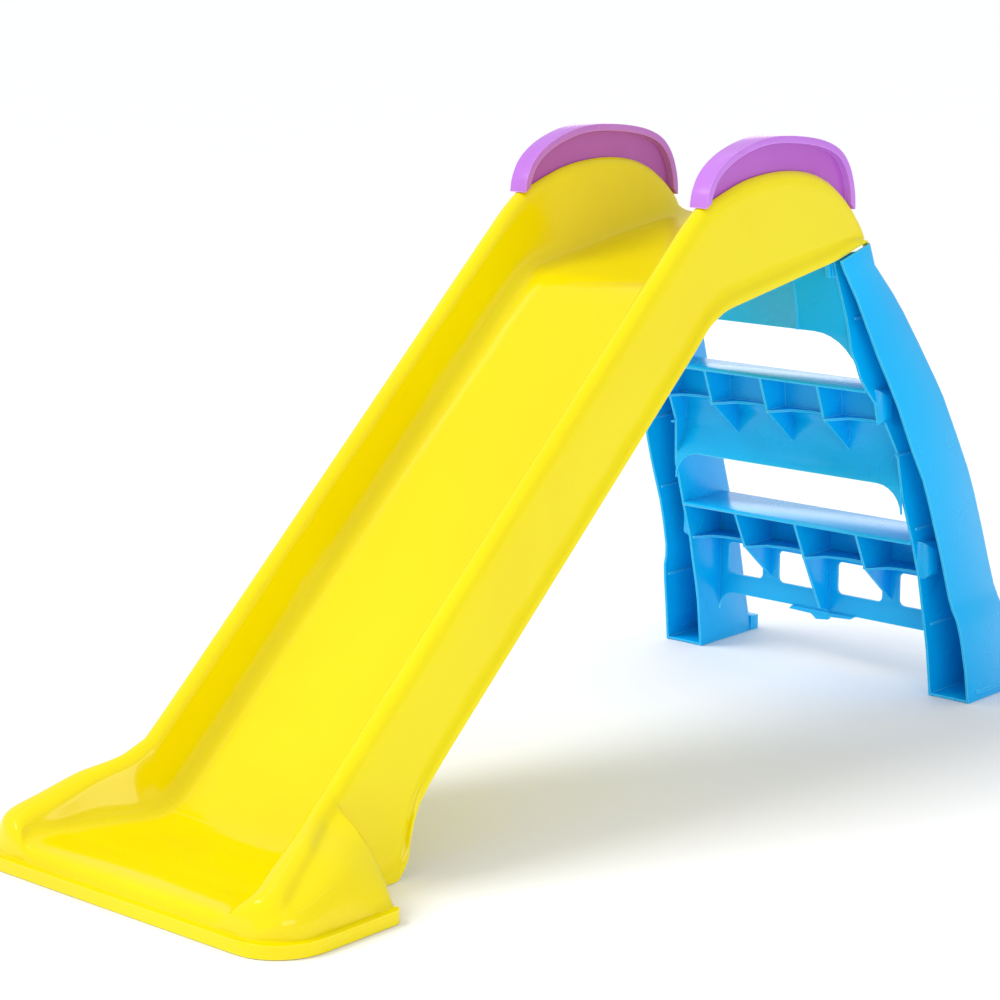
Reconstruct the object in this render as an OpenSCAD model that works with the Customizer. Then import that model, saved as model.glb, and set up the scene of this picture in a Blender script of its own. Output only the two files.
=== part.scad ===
// Folding toddler slide: one moulded chute, one folding ladder, two handrails.
// Millimetres, +Z up, the exit faces -Y, the ladder stands at +Y, the floor is Z = 0.

/* [Which part] */
// Sub-part to draw

/* [Moulding] */
// Wall thickness of the slide moulding
slide_wall = 3; // [2.5:0.5:4]
// Wall thickness of the ladder moulding
ladder_wall = 3; // [2.5:0.5:4]

/* [Handrail] */
// Width of the handrail rim
rail_w = 24; // [20:1:28]
// Thickness of the handrail web
web_t = 7; // [6:1:12]

/* [Pivot] */
// Diameter of the ladder pivot pin
pin_d = 9; // [8:0.5:10]
// Running clearance on the radius of the pin
fit = 0.05; // [0.02:0.01:0.1]

/* [Hidden] */
yellow = [0.97, 0.86, 0.02];
blue = [0.05, 0.63, 0.93];
purple = [0.68, 0.38, 0.82];
// The heights below are written from the ladder's own datum line; this moves
// that datum so that the middle of the footprint is Y = 0.
datum = -52.5;
pivot_y = 405;
pivot_z = 566;

// ---------------------------------------------------------------- slide body
// Each table gives one measure of the chute's cross-section against Y.
floor_z = [[-591, 14], [-581, 14], [-579.5, 20], [-577, 25.5], [-572, 28.6], [-562, 30],
  [-459, 29.7], [-445, 31], [-432, 34.6], [-418, 41.5], [-405, 50.5], [110, 516.6],
  [126, 530], [138, 537], [150, 541], [430, 588], [437, 588], [445, 585.6], [450, 578], [454, 570.4], [457, 563.6]];
crest_z = [[-591, 14], [-581, 14], [-580, 24], [-578, 34], [-574, 43], [-568, 50], [-560, 55],
  [-550, 60], [-530, 68], [-508, 77], [-489, 85], [-472, 90], [-451, 97], [-424, 112],
  [125, 608.7], [140, 621], [156, 632], [170, 639], [197, 648], [224, 656], [252, 660],
  [280, 662], [308, 662], [337, 659], [361, 654], [387, 644], [413, 627], [430, 611],
  [438, 600], [445, 591], [450, 583], [454, 575], [457, 568]];
crest_x = [[-591, 150], [-581, 150], [-580, 158], [-578, 165], [-574, 172], [-568, 179],
  [-559, 183], [-550, 180], [-530, 172], [-508, 165], [-489, 158], [-472, 149], [-451, 138],
  [-424, 131], [-400, 130], [457, 130]];
roll_r = [[-591, 10], [-581, 10], [-580, 12], [-578, 15], [-574, 18], [-560, 22], [-530, 21],
  [-500, 19], [-475, 16], [-440, 13.5], [-400, 13], [457, 13]];
roll_h = [[-591, 0], [-581, 0], [-580, 3], [-578, 6], [-574, 10], [-568, 12], [-550, 15],
  [-475, 14], [-440, 16], [-400, 17], [120, 17], [170, 13], [413, 13], [430, 10], [438, 7],
  [445, 5], [457, 4]];
foot_x = [[-591, 136], [-581, 136], [-573, 150], [-559, 156], [-530, 150], [-500, 140],
  [-475, 130], [-451, 119], [-430, 113.5], [-400, 113], [457, 113]];
// shoulders of the flared base, outside the rolled rim
sh_x1 = [[-591, 165], [-581, 165], [-580, 174], [-578, 184], [-574, 194], [-568, 203],
  [-560, 209], [-550, 209], [-530, 207], [-500, 200], [-475, 188], [-440, 172], [-424, 166]];
sh_z1 = [[-591, 14], [-581, 14], [-580, 19], [-578, 25], [-574, 30], [-568, 35], [-560, 37],
  [-550, 42], [-530, 50], [-500, 62], [-475, 72], [-440, 80], [-424, 84]];
sh_x2 = [[-591, 168], [-581, 168], [-580, 177], [-578, 187], [-574, 197], [-568, 206],
  [-560, 212], [-550, 215], [-530, 217], [-500, 214], [-475, 208], [-440, 195], [-424, 190]];
sh_z2 = [[-591, 14], [-581, 14], [-580, 18], [-578, 23], [-574, 27], [-568, 31], [-560, 32],
  [-550, 36], [-530, 41], [-500, 50], [-475, 58], [-440, 62], [-424, 62]];
sh_x3 = [[-591, 170], [-581, 170], [-580, 179], [-578, 189], [-574, 198], [-568, 207],
  [-560, 213], [-550, 218], [-530, 221.5], [-475, 219], [-440, 214], [-424, 208]];
sh_z3 = [[-591, 14], [-581, 14], [-580, 16.5], [-578, 20], [-574, 23], [-568, 25], [-560, 26],
  [-550, 28], [-530, 30], [-500, 34], [-440, 38], [-424, 36]];
skirt_z = [[-424, 0], [-346, 0], [-338, 11], [-332, 20], [-329, 40], [-323, 59], [-316, 73],
  [-301, 90], [-286, 105], [-270, 120], [128, 480], [148, 500], [162, 509], [181, 517],
[228, 525], [322, 541], [390, 552], [420, 560.5],
  [445, 567.5], [450, 568], [454, 564.5], [457, 560]];
stations = [-591, -589.5, -587.2, -587, -584, -581, -580, -578, -576, -574, -568, -560, -550,
  -540, -530, -520, -508, -498, -489, -480, -472, -461, -451, -440, -434, -429, -426, -424, -420, -416,
  -405, -380, -346, -338, -332, -329, -323, -316, -308, -301, -286, -270, -220, -160, -100,
  -40, 20, 70, 100, 118, 128, 138, 148, 156, 170, 181, 197, 224, 252, 280, 308, 337, 361,
  387, 402, 413, 422, 430, 438, 445, 450, 454, 457];

function flange_x(y) = y < -531 ? 172 + sqrt(max(0, 3600 - pow(-531 - y, 2)))
  : y > -436 ? 220 + sqrt(max(0, 144 - pow(y + 436, 2))) : 232;
function body_x(y) = y < -531 ? 172 + sqrt(max(0, 2500 - pow(-531 - y, 2)))
  : y > -436 ? 212 + sqrt(max(0, 100 - pow((y + 436) / 1.2, 2))) : 222;
function k(y) = y < -581 ? flange_x(y) / 182 : 1;

// right half of the outer skin, from the middle of the floor out to the skirt's edge
function half(y) =
  let (zf = lookup(y, floor_z), zc = lookup(y, crest_z), rh = lookup(y, roll_h),
       xc = lookup(y, crest_x), r = lookup(y, roll_r), xa = lookup(y, foot_x), z0 = zc - rh,
       w = max(0.02, z0 - zf), zs = lookup(y, skirt_z), h = z0 - zs, s = k(y))
  concat(
    [[0, zf], [s * (xa - 32), zf], [s * (xa - 12), zf + min(4.5, 0.13 * w)],
     [s * (xa - 1), zf + min(18, 0.42 * w)], [s * (xc - r), z0]],
    [for (a = [150, 120, 90, 60, 30]) [s * (xc + r * cos(a)), z0 + rh * sin(a)]],
    [[s * (xc + r), z0]],
    y < -422
      ? [[s * lookup(y, sh_x1), lookup(y, sh_z1)], [s * lookup(y, sh_x2), lookup(y, sh_z2)],
         [s * lookup(y, sh_x3), lookup(y, sh_z3)], [y < -581 ? s * 172 : body_x(y), 14.5],
         [flange_x(y), 14], [flange_x(y), 0]]
      : [[143.6, z0 - 0.25 * h], [144.2, z0 - 0.45 * h], [144.8, z0 - 0.65 * h],
         [145, zs + min(15, 0.3 * h)], [150, zs + min(9, 0.2 * h)], [150, zs]]);
// inner skin: one wall thickness inside, measured against the neighbouring stations too
function inner(y, i) =
  let (a = half(y), b = half(max(-581, y - slide_wall)), c = half(min(457, y + slide_wall)), n = len(a) - 1,
       d = i == 0 ? [1, 0] : i == n ? [0, -1] : a[i + 1] - a[i - 1],
       m = norm(d) < 0.001 ? 1 : norm(d), nx = d[1] / m, nz = -d[0] / m,
       x = i < 10 || y < -575 ? a[i][0] : min(a[i][0], b[i][0], c[i][0]),
       z = y < -560 ? min(a[i][1], b[i][1]) : y > 436 ? min(a[i][1], c[i][1]) : a[i][1])
  y < -587.1 ? [i == n ? a[i][0] - slide_wall : 0.97 * a[i][0], 0]
  : y < -575 && i < n - 1 ? [0.975 * x, z - 1.4 * slide_wall]
  : i >= n - 2 ? [x - slide_wall, y < -422 ? (i == n ? 0 : 14 - slide_wall - (n - i) * 0.2) : a[i][1]]
  : [x + nx * slide_wall, z + nz * 1.4 * slide_wall];
function ring(y) =
  let (a = half(y), n = len(a) - 1, b = [for (i = [0:n]) inner(y, i)])
  concat([for (i = [n:-1:1]) [-a[i][0], y, a[i][1]]], [for (p = a) [p[0], y, p[1]]],
         [for (i = [n:-1:0]) [b[i][0], y, b[i][1]]], [for (i = [1:n]) [-b[i][0], y, b[i][1]]]);

// skin through a row of equal rings, closed at both ends
module loft(rings) {
  n = len(rings[0]);
  m = len(rings);
  polyhedron(
    points = [for (r = rings) for (p = r) p],
    faces = concat(
      [for (j = [0:m - 2]) for (i = [0:n - 1]) each
        let (a = j * n + i, b = j * n + (i + 1) % n, c = a + n, d = b + n)
        [[a, d, b], [a, c, d]]],
      [for (i = [0:n / 2 - 2]) each [[i, i + 1, n - 1 - i], [i + 1, n - 2 - i, n - 1 - i]]],
      [for (i = [0:n / 2 - 2]) each let (o = (m - 1) * n)
        [[o + i, o + n - 1 - i, o + i + 1], [o + i + 1, o + n - 1 - i, o + n - 2 - i]]]));
}

module slide_body() color(yellow) translate([0, datum, 0]) difference() {
  loft([for (y = stations) ring(y)]);
  for (s = [-1, 1]) translate([s * 130 - web_t / 2 - 0.3, 157.5, 595]) cube([web_t + 0.6, 273, 100]);
}

// ------------------------------------------------------------------ handrails
rail_out = [[152, 630], [154, 642], [158, 652], [165, 663], [176, 673], [191, 682], [208, 689],
  [229, 695], [253, 699.4], [282, 700.7], [318, 698.5], [352, 694], [378, 688], [398, 680],
  [412, 670], [423, 656], [430, 640], [434, 624], [435, 607]];
rail_t = 8;
// points of a smooth curve through a row of points
function between(p, i, t) =
  let (a = p[max(0, i - 1)], b = p[i], c = p[i + 1], d = p[min(len(p) - 1, i + 2)])
  0.5 * (2 * b + (c - a) * t + (2 * a - 5 * b + 4 * c - d) * t * t + (3 * b - a - 3 * c + d) * t * t * t);
function smooth(p) = concat([for (i = [0:len(p) - 2]) for (j = [0:2]) between(p, i, j / 3)], [p[len(p) - 1]]);
// the same curve moved sideways to the right of its run
function beside(p, d) = [for (i = [0:len(p) - 1])
  let (v = p[min(len(p) - 1, i + 1)] - p[max(0, i - 1)]) p[i] + d * [v[1], -v[0]] / norm(v)];
rim_out = smooth(rail_out);
rim_in = beside(rim_out, rail_t);
module side_plate(points, x0, x1)
  translate([x0, 0, 0]) rotate([90, 0, 90]) linear_extrude(x1 - x0) polygon(points);

module handrail() {
  // rim, resting on the crest of the side wall
  difference() {
    side_plate(concat(rim_out, [for (i = [len(rim_in) - 1:-1:0]) rim_in[i]]),
      130 - rail_w / 2, 130 + rail_w / 2);
    side_plate(concat([for (y = [144:6:450]) [y, lookup(y, crest_z) + 0.5]], [[450, 560], [144, 560]]), 100, 160);
  }
  // recessed web, let into the slot along the crest
  side_plate(concat([for (p = beside(rim_out, rail_t - 1)) p], [[421, 616], [404, 616], [385, 622],
    [355, 634], [310, 640], [270, 640], [225, 634], [185, 624], [163, 620]]),
    130 - web_t / 2, 130 + web_t / 2);
  // snap tabs that catch inside the crest
  for (y = [205, 335]) side_plate([[y, 641], [y + 22, 641], [y + 22, 612], [y, 612]],
    130 - web_t / 2, 130 + web_t / 2);
}
module handrail_right() color(purple) translate([0, datum, 0]) handrail();
module handrail_left() color(purple) translate([0, datum, 0]) translate([-260, 0, 0]) handrail();

// --------------------------------------------------------------------- pivot
module along_x(x0, x1, r) translate([x0, pivot_y + datum, pivot_z]) rotate([0, 90, 0])
  cylinder(h = x1 - x0, r = r, $fn = 64);
// round boss on the inside of the skirt that takes the end of the pin
module pivot_socket_right() color(yellow) difference() {
  along_x(133.4, 141.5, 8);
  along_x(133, 142, pin_d / 2 + 0.02);
}
module pivot_socket_left() color(yellow) difference() {
  along_x(-141.5, -133.4, 8);
  along_x(-142, -133, pin_d / 2 + 0.02);
}
module pivot_pin_right() color(blue) { along_x(125, 141, pin_d / 2); along_x(122, 125, 7); }
module pivot_pin_left() color(blue) { along_x(-141, -125, pin_d / 2); along_x(-125, -122, 7); }
module pin_washer_right() color([0.75, 0.76, 0.78]) difference() {
  along_x(125, 126.8, 8);
  along_x(124, 128, pin_d / 2 + fit);
}
module pin_washer_left() color([0.75, 0.76, 0.78]) difference() {
  along_x(-126.8, -125, 8);
  along_x(-128, -124, pin_d / 2 + fit);
}

// -------------------------------------------------------------------- ladder
// outer and inner faces, front and rear edges of the rail channel against Z
rail_xo = [[0, 233.5], [40, 232], [83, 229], [105, 226], [119, 221], [134, 218], [170, 215.5],
  [198, 214], [226, 213], [261, 212], [285, 210], [326, 203.5], [377, 195], [410, 187],
  [436, 180], [505, 164], [549, 154.5]];
rail_xi = [[0, 176], [70, 174.5], [200, 173], [257, 170], [313, 165.5], [366, 159.5], [396, 155],
  [426, 150.5], [463, 146], [482, 143], [549, 134], [560, 133]];
rail_fo = [[0, 571], [40, 566], [83, 558], [105, 553], [134, 546], [170, 536], [198, 527],
  [226, 516], [261, 503], [285, 494], [326, 476], [377, 458], [410, 446], [436, 436],
  [505, 413], [549, 392]];
rail_fi = [[0, 571], [69, 562], [113, 551], [153, 542], [200, 526], [257, 506], [313, 499],
  [366, 470], [396, 444], [411, 435], [426, 430], [443, 421], [482, 418], [549, 401]];
rail_rr = [[0, 684], [19, 682], [48, 674], [72, 669], [118, 658], [161, 643], [196, 632],
  [241, 615], [270, 603], [324, 582], [387, 556], [443, 529], [494, 501], [520, 481], [540, 465], [556, 453]];
levels = [0, 19, 40, 60, 83, 105, 119, 134, 153, 170, 198, 226, 257, 285, 313, 326, 350, 366,
  377, 396, 411, 426, 443, 463, 482, 505, 527, 541, 553];
function channel(z, o) =
  let (xo = lookup(z, rail_xo), xi = lookup(z, rail_xi), fo = lookup(z, rail_fo),
       fi = lookup(z, rail_fi), yr = lookup(z, rail_rr), t = ladder_wall, q = 9)
  // the top edge drops toward the front, parallel to the slide's lower edge;
  // only the outer wall passes outside the skirt
  [for (p = [[xo, fo], [xo, yr - q], [xo - q / 3, yr - q / 3], [xo - q, yr], [xi + q, yr],
      [xi + q / 3, yr - q / 3], [xi, yr - q], [xi, fi], [xi + t, fi], [xi + t, yr - q],
      [xi + q / 3 + 0.7 * t, yr - q / 3 - 0.7 * t], [xi + q, yr - t], [xo - q, yr - t],
      [xo - q / 3 - 0.7 * t, yr - q / 3 - 0.7 * t], [xo - t, yr - q], [xo - t, fo]])
    [min(p[0], xo), p[1], z + (z > 548 ? (p[0] > 150.8 ? 0.27 : 0.07) * (p[1] - 399) : 0)]];
module rail() {
  difference() {
    union() {
      loft([for (z = levels) channel(z, 0)]);
      // pivot lug at the head of the inner wall
      side_plate([[400, 530], [394, 560], [394, 566], [398, 574], [405, 577.5], [412, 574], [440, 562],
        [440, 530]], 127, 133);
      side_plate([[406, 530], [403, 545], [440, 545], [440, 530]], 132.5, 138);
      // moulded steps across the inside of the channel
      for (z = [91, 216, 311, 480]) {
        xo = lookup(z, rail_xo); xi = lookup(z, rail_xi);
        fo = lookup(z, rail_fo); yr = lookup(z, rail_rr);
        translate([0, 0, z - 1.2]) linear_extrude(2.4) difference() {
          polygon([[xi + 1, fo + 12], [xo - 1.5, fo + 6], [xo - 1.5, yr - 10], [xo - 10, yr - 1.5],
            [xi + 10, yr - 1.5], [xi + 1, yr - 10]]);
          polygon([[xi + 4.6, fo], [xo - 4.6, fo - 1], [xo - 4.6, yr - 11], [xo - 11, yr - 5],
            [xi + 11, yr - 5], [xi + 4.6, yr - 11]]);
        }
      }
      // closed foot
      translate([0, 0, 0.5]) linear_extrude(2.5) polygon([[176.6, 571.8], [232.8, 571.8],
        [232.8, 675], [225, 682.8], [185, 682.8], [176.6, 675]]);
      // toe along the rear of the foot, bead round the outside
      translate([176, 681, 0]) cube([50, 15, 19]);
      translate([230, 590, 9]) cube([5, 90, 4]);
      // rounded ends of the step pockets
      intersection() {
        side_plate([[446, 394], [492, 393], [502, 386], [506, 372], [503, 356], [496, 350], [464, 350]], 150, 172);
        linear_extrude(500) polygon(arc(153, 477, 17, -90, 90, 10));
        front_plate(concat(arc(156, 380, 14, 90, 0, 5), arc(156, 364, 14, 0, -90, 5), [[140, 350], [140, 394]]), 430, 520);
        rail_space();
      }
      intersection() {
        side_plate([[527, 200], [566, 198], [581, 190], [587, 172], [583, 158], [575, 152], [546, 152]], 170, 192);
        linear_extrude(500) polygon(concat([[172, 530]], arc(172, 556, 19, -70, 90, 10)));
        front_plate(concat(arc(175, 184, 16, 90, 0, 5), arc(175, 168, 16, 0, -90, 5), [[160, 152], [160, 200]]), 510, 600);
        rail_space();
      }
    }
    along_x_local(120, 140, pin_d / 2 + fit);
  }
}
module along_x_local(x0, x1, r) translate([x0, pivot_y, pivot_z]) rotate([0, 90, 0])
  cylinder(h = x1 - x0, r = r, $fn = 64);
module ladder_rail_right() color(blue) translate([0, datum, 0]) rail();
module ladder_rail_left() color(blue) translate([0, datum, 0]) mirror([1, 0, 0]) rail();
module between_rails() difference() {
  children();
  for (s = [0, 1]) mirror([s, 0, 0]) {
    rail_space();
    translate([126.8, 300, 529.8]) cube([60, 200, 60]);
  }
}
// everything outside the inner face of a rail
module rail_space() translate([0, 800, 0]) rotate([90, 0, 0]) linear_extrude(500)
  polygon(concat([for (z = levels) [lookup(z, rail_xi), z]], [[133, 580], [300, 580], [300, -5], [176, -5]]));
function arc(cx, cy, r, a0, a1, n) = [for (i = [0:n]) let (a = a0 + (a1 - a0) * i / n)
  [cx + r * cos(a), cy + r * sin(a)]];

module front_plate(points, y0, y1)
  translate([0, y1, 0]) rotate([90, 0, 0]) linear_extrude(y1 - y0) polygon(points);

module ladder_top_panel() color(blue) translate([0, datum, 0]) between_rails() {
  intersection() {
    union() {
      side_plate([[426, 400], [423, 462], [402, 556], [405, 556], [426, 462], [429, 400]], -170, 170);
      side_plate([[421.4, 470], [423.6, 460], [426, 460], [424, 470]], -170, 170);
      for (s = [-1, 1]) side_plate([[420, 455], [417, 484], [403, 540], [404, 556], [425, 462]], s * 74 - 1.5, s * 74 + 1.5);
    }
    front_plate(concat([[-170, 560], [-170, 395]], arc(-96, 395, 66, 175, 90, 8),
      arc(96, 395, 66, 90, 5, 8), [[170, 395], [170, 560]]), 380, 460);
  }
}
module wave(y0, y1, xs, z) translate([0, 0, z - 3]) linear_extrude(3) polygon(concat(
  [for (i = [0:len(xs) - 2]) each [[xs[i] - 5, y0 + 4], [xs[i] + 4, y0 - 2], [xs[i] + 20, y1 - 8],
    [(xs[i] + xs[i + 1]) / 2, y1 - 1], [xs[i + 1] - 12, y1], [xs[i + 1] - 6, y1]]],
  [[178, y1 + 2], [190, y1 + 12], [190, y1 + 15.5], [-190, y1 + 15.5], [-190, y1 + 2]]));

module ladder_upper_step() color(blue) translate([0, datum, 0]) between_rails() union() {
  // tread with a rolled front edge
  side_plate([[446, 391], [445, 393], [446, 395], [449, 396], [500, 396.5], [500, 393], [449, 392.5]], -170, 170);
  // pocket back wall
  side_plate([[497, 394], [500, 394], [504, 347], [501, 347]], -170, 170);
  wave(462, 496, [-168, -84, 0, 84, 170], 350);
  for (x = [-84, 0, 84]) side_plate([[447, 393.6], [464, 349], [518, 304], [519, 340], [502, 347], [499, 393]], x - 1.5, x + 1.5);
}
module ladder_middle_panel() color(blue) translate([0, datum, 0]) between_rails() difference() {
  intersection() {
    side_plate([[501, 347], [512, 342], [517.5, 330], [518, 304], [512, 284], [505, 271], [505, 230],
      [508, 230], [508, 270.5], [515, 283], [521, 303], [520.5, 331], [515, 344], [504, 347]], -180, 180);
    front_plate(concat([[-180, 347], [-180, 236]], arc(-135, 236, 35, 178, 90, 6),
      arc(135, 236, 35, 90, 2, 6), [[180, 236], [180, 347]]), 480, 540);
  }
  for (x = [-84, 0, 84]) side_plate([[447, 393.6], [464, 349], [518, 304], [519, 340], [502, 347], [499, 393]], x - 1.5, x + 1.5);
}
module ladder_lower_step() color(blue) translate([0, datum, 0]) between_rails() union() {
  side_plate([[524, 197], [523, 199], [524, 201], [527, 202], [609, 203], [609, 199.5], [527, 198.5]], -180, 180);
  wave(548, 578, [-178, -92, 0, 92, 178], 152);
  translate([-180, 592, 149]) cube([360, 14.5, 3]);
  for (x = [-92, 92]) side_plate([[525, 199.6], [548, 151], [584, 120], [607, 101], [607, 200.6]], x - 1.5, x + 1.5);
  side_plate([[525, 199.6], [548, 151], [586, 78], [607, 70], [607, 200.6]], -1.5, 1.5);
}
module window(x0, x1) front_plate(concat(arc(x1 - 7, 130, 7, 90, 0, 4), arc(x1 - 7, 102, 7, 0, -90, 4),
  arc(x0 + 7, 102, 7, -90, -180, 4), arc(x0 + 7, 130, 7, 180, 90, 4)), 590, 630);
module ladder_lower_panel() color(blue) translate([0, datum, 0]) between_rails() difference() {
  front_plate(concat([[-180, 199.3], [-180, 44]], arc(-150, 44, 25, 180, 90, 6),
    arc(150, 44, 25, 90, 0, 6), [[180, 44], [180, 199.3]]), 607, 610);
  window(-160, -105); window(-80, -12); window(12, 80); window(105, 160);
}
module ladder_storage_clip() color(blue) translate([0, datum, 0])
  front_plate([[-61, 64], [-56, 69], [41, 69], [34, 65], [2, 63], [0, 59], [-18, 57], [-23, 61], [-26, 63]], 604, 610);

slide_body();
handrail_left();
handrail_right();
pivot_socket_left();
pivot_socket_right();
pivot_pin_left();
pivot_pin_right();
pin_washer_left();
pin_washer_right();
ladder_rail_left();
ladder_rail_right();
ladder_top_panel();
ladder_upper_step();
ladder_middle_panel();
ladder_lower_step();
ladder_lower_panel();
ladder_storage_clip();
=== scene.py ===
import bpy
import math
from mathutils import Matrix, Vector


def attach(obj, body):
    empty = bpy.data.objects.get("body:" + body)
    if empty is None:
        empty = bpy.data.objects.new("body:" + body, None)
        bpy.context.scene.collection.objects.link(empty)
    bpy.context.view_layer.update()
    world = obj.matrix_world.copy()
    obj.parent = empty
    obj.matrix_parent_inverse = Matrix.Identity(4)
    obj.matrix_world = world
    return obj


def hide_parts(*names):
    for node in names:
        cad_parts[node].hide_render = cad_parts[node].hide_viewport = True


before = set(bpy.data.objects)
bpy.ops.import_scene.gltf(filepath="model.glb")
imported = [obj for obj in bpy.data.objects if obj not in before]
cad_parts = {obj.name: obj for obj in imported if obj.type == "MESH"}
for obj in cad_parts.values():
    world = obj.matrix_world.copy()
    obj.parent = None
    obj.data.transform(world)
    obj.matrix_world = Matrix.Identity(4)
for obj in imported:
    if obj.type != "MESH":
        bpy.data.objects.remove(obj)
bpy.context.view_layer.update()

# ------------------------------------------------------------ slide moulding
# The chute, its seat deck, its skirts and the flared foot are one hollow-backed
# moulding in yellow polyethylene, about 3 mm thick. Its skin is the frame's own,
# merged into quads and subdivided once, so that every roll runs smooth.
merge_distance = 0.00002
ledge_top = 0.0152     # height of the flat band round the foot
ledge_slope = 0.001    # an edge of the band rises no more than this
lip_inner = 0.1449     # half width at which the skirts' lower lip begins
foot_back = -0.47      # the flared foot lies in front of this, the lip behind it
lip_run = 0.0015       # an edge along the lip is at least this long in Y
crisp = 0.7            # crease of the edges that stay crisp


def only(piece):
    """Selects one object and nothing else."""
    bpy.ops.object.select_all(action="DESELECT")
    piece.select_set(True)
    bpy.context.view_layer.objects.active = piece


def moulding_from(node, name):
    """A merged copy of a frame node, free to be worked on."""
    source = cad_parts[node]
    piece = bpy.data.objects.new(name, source.data.copy())
    bpy.context.scene.collection.objects.link(piece)
    only(piece)
    bpy.ops.object.mode_set(mode="EDIT")
    bpy.ops.mesh.select_all(action="SELECT")
    bpy.ops.mesh.remove_doubles(threshold=merge_distance)
    bpy.ops.object.mode_set(mode="OBJECT")
    return piece


def finish_with(piece, kind, **settings):
    """Adds one modifier and applies it."""
    only(piece)
    modifier = piece.modifiers.new(kind.title(), kind)
    for key, value in settings.items():
        setattr(modifier, key, value)
    bpy.ops.object.modifier_apply(modifier=modifier.name)


def put_on(piece, body, slot, material, *nodes):
    """Paints a piece, sets what it moves with and hides the frame nodes it takes the place
    of.
    """
    piece.data.materials.clear()
    piece.data.materials.append(material)
    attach(piece, body)
    if nodes:
        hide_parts(*nodes)


class Shade:
    """One output in a material's node tree; sums and products add Math nodes."""

    def __init__(self, tree, out):
        self.tree, self.out = tree, out

    def node(self, kind, settings=(), inputs=(), output=0):
        """Any node: its settings first, then the values or links of its sockets."""
        made = self.tree.nodes.new(kind)
        for key, value in dict(settings).items():
            if key == "stops":
                ramp = made.color_ramp.elements
                while len(ramp) < len(value):
                    ramp.new(0.5)
                for stop, (place, colour) in zip(ramp, value):
                    stop.position, stop.color = place, colour
            else:
                setattr(made, key, value)
        for key, value in dict(inputs).items():
            if isinstance(value, Shade):
                self.tree.links.new(value.out, made.inputs[key])
            else:
                made.inputs[key].default_value = value
        return Shade(self.tree, made.outputs[output])

    def math(self, operation, a, b):
        return self.node("ShaderNodeMath", {"operation": operation}, {0: a, 1: b})

    def __add__(self, other):
        return self.math("ADD", self, other)

    def __mul__(self, other):
        return self.math("MULTIPLY", self, other)

    def __sub__(self, other):
        return self.math("SUBTRACT", self, other)

    def __rsub__(self, other):
        return self.math("SUBTRACT", other, self)

    __radd__, __rmul__ = __add__, __mul__

    def within(self, low, high):
        """0 at low, 1 at high, and smooth between."""
        return self.node("ShaderNodeMapRange", {"interpolation_type": "SMOOTHSTEP"},
                         {"Value": self, "From Min": low, "From Max": high})

    def blend(self, first, second):
        """A colour mix with this value as its factor."""
        return self.node("ShaderNodeMix", {"data_type": "RGBA"},
                         {0: self, 6: first, 7: second}, 2)


def plastic(name, deep, fair, edge, roughness, gloss=0.4):
    """Moulded plastic: two close tones that drift, a paler colour painted along the edges
    as a highlight, and rubbed patches.
    """
    material = bpy.data.materials.new(name)
    material.use_nodes = True
    tree = material.node_tree
    skin = tree.nodes["Principled BSDF"]
    place = Shade(tree, tree.nodes.new("ShaderNodeTexCoord").outputs["Object"])

    def noise(scale, detail, warp=0.0):
        return place.node("ShaderNodeTexNoise", (), {
            "Vector": place, "Scale": scale, "Detail": detail, "Distortion": warp})

    # depths of the fine peel and the slow flow of the surface, and the corner sensed
    peel_depth, flow_depth, corner_radius = 0.00003, 0.0004, 0.0022
    drift = noise(3.2, 3.0, 0.6).within(0.3, 0.7)
    cloud = noise(38.0, 4.0, 0.5)
    rubbed = noise(17.0, 6.0, 1.4).within(0.52, 0.74)
    peel = noise(150.0, 2.0)
    flow = noise(9.0, 1.5, 0.8)
    facing = place.node("ShaderNodeNewGeometry", output="Normal")
    rounded = place.node("ShaderNodeBevel", {"samples": 6}, {"Radius": corner_radius})
    agreement = place.node("ShaderNodeVectorMath", {"operation": "DOT_PRODUCT"},
                           {0: rounded, 1: facing}, "Value")
    corner = (1 - agreement).within(0.015, 0.2)
    tone = (drift * 0.8 + cloud * 0.2).blend(deep, fair)
    # The edge colour, laid over the tone where the surface rounds over, is a painted
    # highlight.
    tone_with_edge_highlight = (corner * 0.85).blend(tone, edge)
    rough = roughness + rubbed * 0.06 + cloud * 0.03 + corner * 0.06
    bump = place.node("ShaderNodeBump", (), {
        "Strength": 0.3, "Distance": 1.0, "Height": peel * peel_depth + flow * flow_depth})
    surface = (("Base Color", tone_with_edge_highlight), ("Roughness", rough), ("Normal", bump))
    for socket, value in surface:
        tree.links.new(value.out, skin.inputs[socket])
    skin.inputs["IOR"].default_value = 1.5
    skin.inputs["Specular IOR Level"].default_value = gloss
    return material


yellow = plastic("yellow_polyethylene", (0.85, 0.69, 0.0, 1), (0.87, 0.75, 0.0, 1),
                 (0.98, 0.86, 0.05, 1), 0.10, 0.32)
slide = moulding_from("slide_body", "slide_moulding")
bpy.ops.object.mode_set(mode="EDIT")
bpy.ops.mesh.select_all(action="SELECT")
bpy.ops.mesh.tris_convert_to_quads(
    face_threshold=math.radians(40), shape_threshold=math.radians(75))
bpy.ops.mesh.select_all(action="DESELECT")
bpy.ops.mesh.select_mode(type="EDGE")
bpy.ops.object.mode_set(mode="OBJECT")
for edge in slide.data.edges:
    a, b = (slide.data.vertices[i].co for i in edge.vertices)
    on_ledge = max(a.z, b.z) < ledge_top and abs(a.z - b.z) < ledge_slope
    at_lip = min(abs(a.x), abs(b.x)) > lip_inner and min(a.y, b.y) > foot_back
    edge.select = on_ledge or (at_lip and abs(a.y - b.y) > lip_run)
bpy.ops.object.mode_set(mode="EDIT")
bpy.ops.transform.edge_crease(value=crisp)
bpy.ops.object.mode_set(mode="OBJECT")
finish_with(slide, "SUBSURF", levels=1, render_levels=1)
only(slide)
bpy.ops.object.shade_smooth_by_angle(angle=math.radians(32))
put_on(slide, "slide", "yellow_moulding", yellow, "slide_body")

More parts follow.
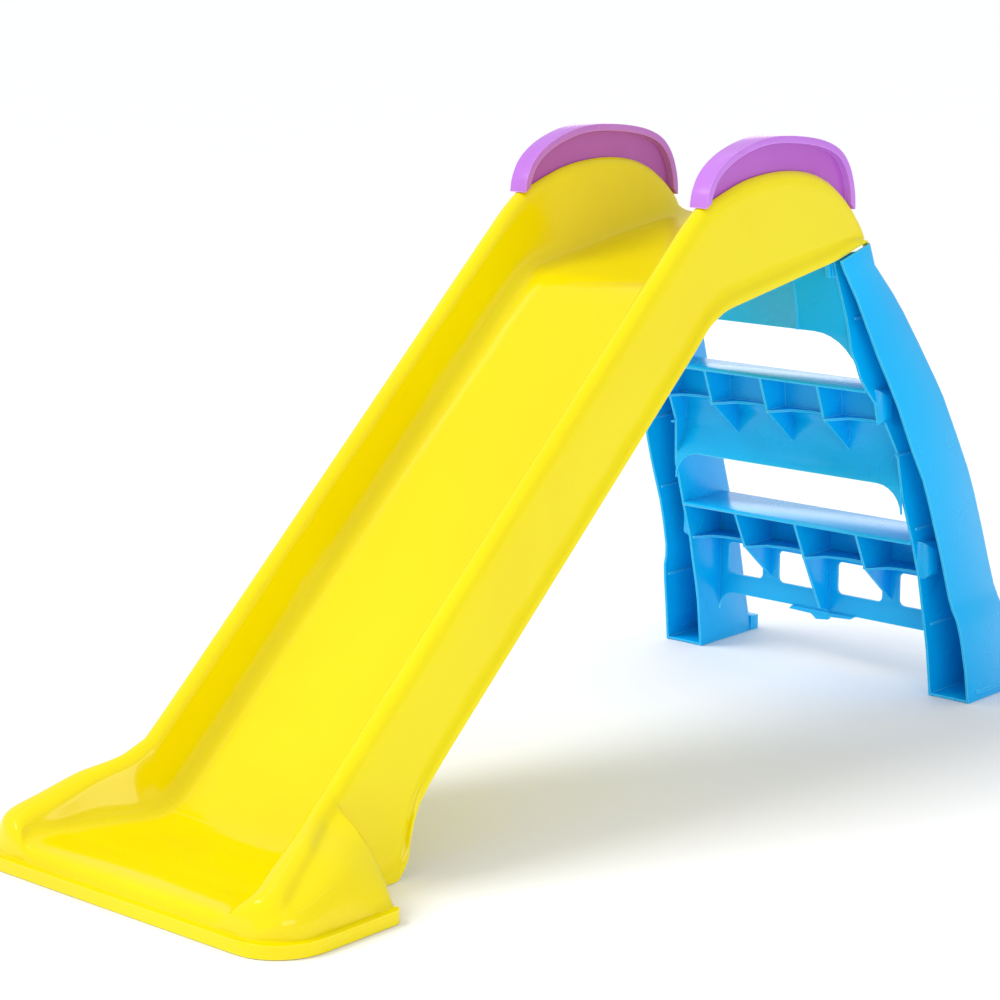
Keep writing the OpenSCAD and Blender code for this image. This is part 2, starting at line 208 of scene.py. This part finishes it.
# ----------------------------------------------------------------- handrails
# Two handrails in purple polyethylene, each a moulding of its own: a broad rim with
# a rounded outer shoulder, over a recessed web that is let down into a slot in the
# crest of the side wall.
rail_offset = 0.13                        # from the middle of the slide to a handrail
rail_middle = Vector((0, 0.235, 0.60))    # the rim curves round this
shoulder = 0.005                          # radius of the rim's outer edges
web_half = 0.006                          # the web's faces lie within this of the middle
purple = plastic("purple_polyethylene", (0.50, 0.17, 0.70, 1), (0.56, 0.21, 0.78, 1),
                 (0.80, 0.42, 0.90, 1), 0.24)
# A darker copy of the purple for the recessed web: painted shade, not a second plastic.
purple_web_painted_shade = plastic("purple_polyethylene_web_painted_shade", (0.40, 0.08, 0.50, 1),
                     (0.46, 0.10, 0.56, 1), (0.66, 0.20, 0.70, 1), 0.3)


def flatten(piece, angle=0.3):
    """Joins coplanar triangles into whole faces."""
    only(piece)
    bpy.ops.object.mode_set(mode="EDIT")
    bpy.ops.mesh.select_all(action="SELECT")
    bpy.ops.mesh.dissolve_limited(angle_limit=math.radians(angle))
    bpy.ops.mesh.select_all(action="DESELECT")
    bpy.ops.object.mode_set(mode="OBJECT")


for side, across in (("left", -rail_offset), ("right", rail_offset)):
    rail = moulding_from("handrail_" + side, "handrail_moulding_" + side)
    flatten(rail)
    mesh = rail.data
    half_width = max(v.co.x for v in mesh.vertices) - across
    faces_of = {}
    for face in mesh.polygons:
        for key in face.edge_keys:
            faces_of.setdefault(key, []).append(face)
    for edge in mesh.edges:
        a, b = (mesh.vertices[i].co for i in edge.vertices)
        middle = (a + b) / 2
        on_side = abs(abs(a.x - across) - half_width) < 1e-5 and abs(a.x - b.x) < 1e-6
        away = any(abs(f.normal.x) < 0.5 and f.normal.dot(middle - rail_middle) > 0.0
                   for f in faces_of[tuple(sorted(edge.vertices))])
        edge.select = on_side and away
    bpy.ops.object.mode_set(mode="EDIT")
    bpy.ops.mesh.select_mode(type="EDGE")
    bpy.ops.mesh.bevel(offset=shoulder, segments=5, profile=0.5, clamp_overlap=True)
    bpy.ops.object.mode_set(mode="OBJECT")
    finish_with(rail, "BEVEL", width=0.0009, segments=2, limit_method="ANGLE",
                angle_limit=math.radians(50), use_clamp_overlap=True)
    only(rail)
    bpy.ops.object.shade_smooth_by_angle(angle=math.radians(45))
    put_on(rail, "slide", "purple_moulding", purple, "handrail_" + side)
    rail.data.materials.append(purple_web_painted_shade)
    # The web's faces take the darker copy, which paints the shade of the recess.
    for face in rail.data.polygons:
        if abs(face.center.x - across) < web_half and abs(face.normal.x) > 0.9:
            face.material_index = 1

# --------------------------------------------------------------------- pivot
# A yellow boss inside each skirt, a blue pin through the ladder's lug and a zinc
# plated washer under its head. These are the frame's own parts, painted, and they
# sit out of sight behind the skirt.
zinc = plastic("zinc_plate", (0.46, 0.47, 0.49, 1), (0.55, 0.56, 0.58, 1),
               (0.75, 0.76, 0.78, 1), 0.32)
zinc.node_tree.nodes["Principled BSDF"].inputs["Metallic"].default_value = 1.0
blue = plastic("blue_polyethylene", (0.0, 0.43, 0.90, 1), (0.0, 0.49, 0.96, 1),
               (0.16, 0.84, 1.0, 1), 0.24, 0.32)
for side in ("left", "right"):
    for node, finish in (
            ("pivot_socket_", yellow), ("pivot_pin_", blue), ("pin_washer_", zinc)):
        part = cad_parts[node + side]
        part.data.materials.clear()
        part.data.materials.append(finish)

# -------------------------------------------------------------------- ladder
# One moulding in blue polyethylene, built in regions: two channel rails, three cross
# panels, two treads with their gussets and a small clip. Every thin wall has a
# softened edge, and the paler colour along it is a painted highlight.
rail_edge, panel_edge = 0.0010, 0.0007
for region in ("rail_left", "rail_right", "top_panel", "upper_step", "middle_panel",
               "lower_step", "lower_panel", "storage_clip"):
    node = "ladder_" + region
    is_rail = region.startswith("rail")
    part = moulding_from(node, "moulded_" + region)
    flatten(part, 1.0 if is_rail else 0.3)
    finish_with(part, "BEVEL", width=rail_edge if is_rail else panel_edge,
                segments=2, limit_method="ANGLE",
                angle_limit=math.radians(35), use_clamp_overlap=True)
    only(part)
    bpy.ops.object.shade_smooth_by_angle(angle=math.radians(35))
    put_on(part, "ladder", "blue_moulding", blue, node)

# -------------------------------------------------------------------- studio
# A pale paper floor that runs out of sight, an even white surround, a wide skylight
# and five soft boxes: a small key from the left, a fill from the right, one behind
# for the sheen on the treads, and two narrow strips overhead. The surround is a
# little brighter where it is seen directly, so that it reads as white.
bpy.ops.object.select_all(action="DESELECT")
bpy.ops.mesh.primitive_plane_add(size=160, location=(0, 0, -0.0006))
floor = bpy.context.object
floor.name = "floor"
paper = bpy.data.materials.new("pale_floor")
paper.use_nodes = True
sheet = paper.node_tree.nodes["Principled BSDF"]
sheet.inputs["Base Color"].default_value = (0.955, 0.962, 0.985, 1)
sheet.inputs["Roughness"].default_value = 0.85
sheet.inputs["Specular IOR Level"].default_value = 0.1
floor.data.materials.append(paper)

world = bpy.data.worlds.new("surround")
bpy.context.scene.world = world
world.use_nodes = True
sky = world.node_tree.nodes["Background"]
sky.inputs["Color"].default_value = (1, 1, 1, 1)
lit_strength, seen_strength = 0.7, 1.04
path = world.node_tree.nodes.new("ShaderNodeLightPath")
seen = Shade(world.node_tree, path.outputs["Is Camera Ray"])
brightness = seen * (seen_strength - lit_strength) + lit_strength
world.node_tree.links.new(brightness.out, sky.inputs["Strength"])


def softbox(name, place, aim, width, height, power):
    """A rectangular area light, never itself in view."""
    lamp = bpy.data.lights.new(name, "AREA")
    lamp.shape, lamp.size, lamp.size_y, lamp.energy = "RECTANGLE", width, height, power
    holder = bpy.data.objects.new(name, lamp)
    bpy.context.scene.collection.objects.link(holder)
    holder.location = place
    holder.rotation_mode = "QUATERNION"
    holder.rotation_quaternion = (Vector(aim) - Vector(place)).to_track_quat("-Z", "Y")
    holder.visible_camera = False


softbox("key", (-1.5, -1.9, 2.2), (0, -0.3, 0.2), 0.5, 0.35, 6)
softbox("fill", (2.7, -1.5, 0.8), (0, 0, 0.35), 1.8, 1.2, 20)
strip_long, strip_narrow = 4.0, 0.03
softbox("strip_left", (-1.3, -0.2, 2.5), (0, -0.2, 0.3), strip_long, strip_narrow, 2.0)
softbox("strip_right", (1.9, -0.3, 2.4), (0, -0.3, 0.3), strip_long, strip_narrow, 2.0)
softbox("back", (-1.95, 2.7, 1.0), (0, 0.4, 0.3), 2.2, 0.9, 11)
skylight = bpy.data.lights.new("skylight", "SUN")
skylight.energy, skylight.angle = 1.4, math.radians(28)
holder = bpy.data.objects.new("skylight", skylight)
bpy.context.scene.collection.objects.link(holder)
light_falls = Vector((0.42, 0.42, -0.80))
holder.rotation_mode = "QUATERNION"
holder.rotation_quaternion = light_falls.to_track_quat("-Z", "Y")
holder.visible_glossy = False

camera = bpy.data.objects.new("camera", bpy.data.cameras.new("camera"))
bpy.context.scene.collection.objects.link(camera)
camera.data.sensor_width, camera.data.lens = 36.0, 100.76
camera.data.clip_start, camera.data.clip_end = 0.05, 300.0
camera.location = (1.9823, -2.3145, 0.9569)
camera_looks = Vector((-0.6486, 0.7318, -0.2096))
camera.rotation_mode = "QUATERNION"
camera.rotation_quaternion = camera_looks.to_track_quat("-Z", "Y")
bpy.context.scene.camera = camera
bpy.context.scene.view_settings.view_transform = "Standard"
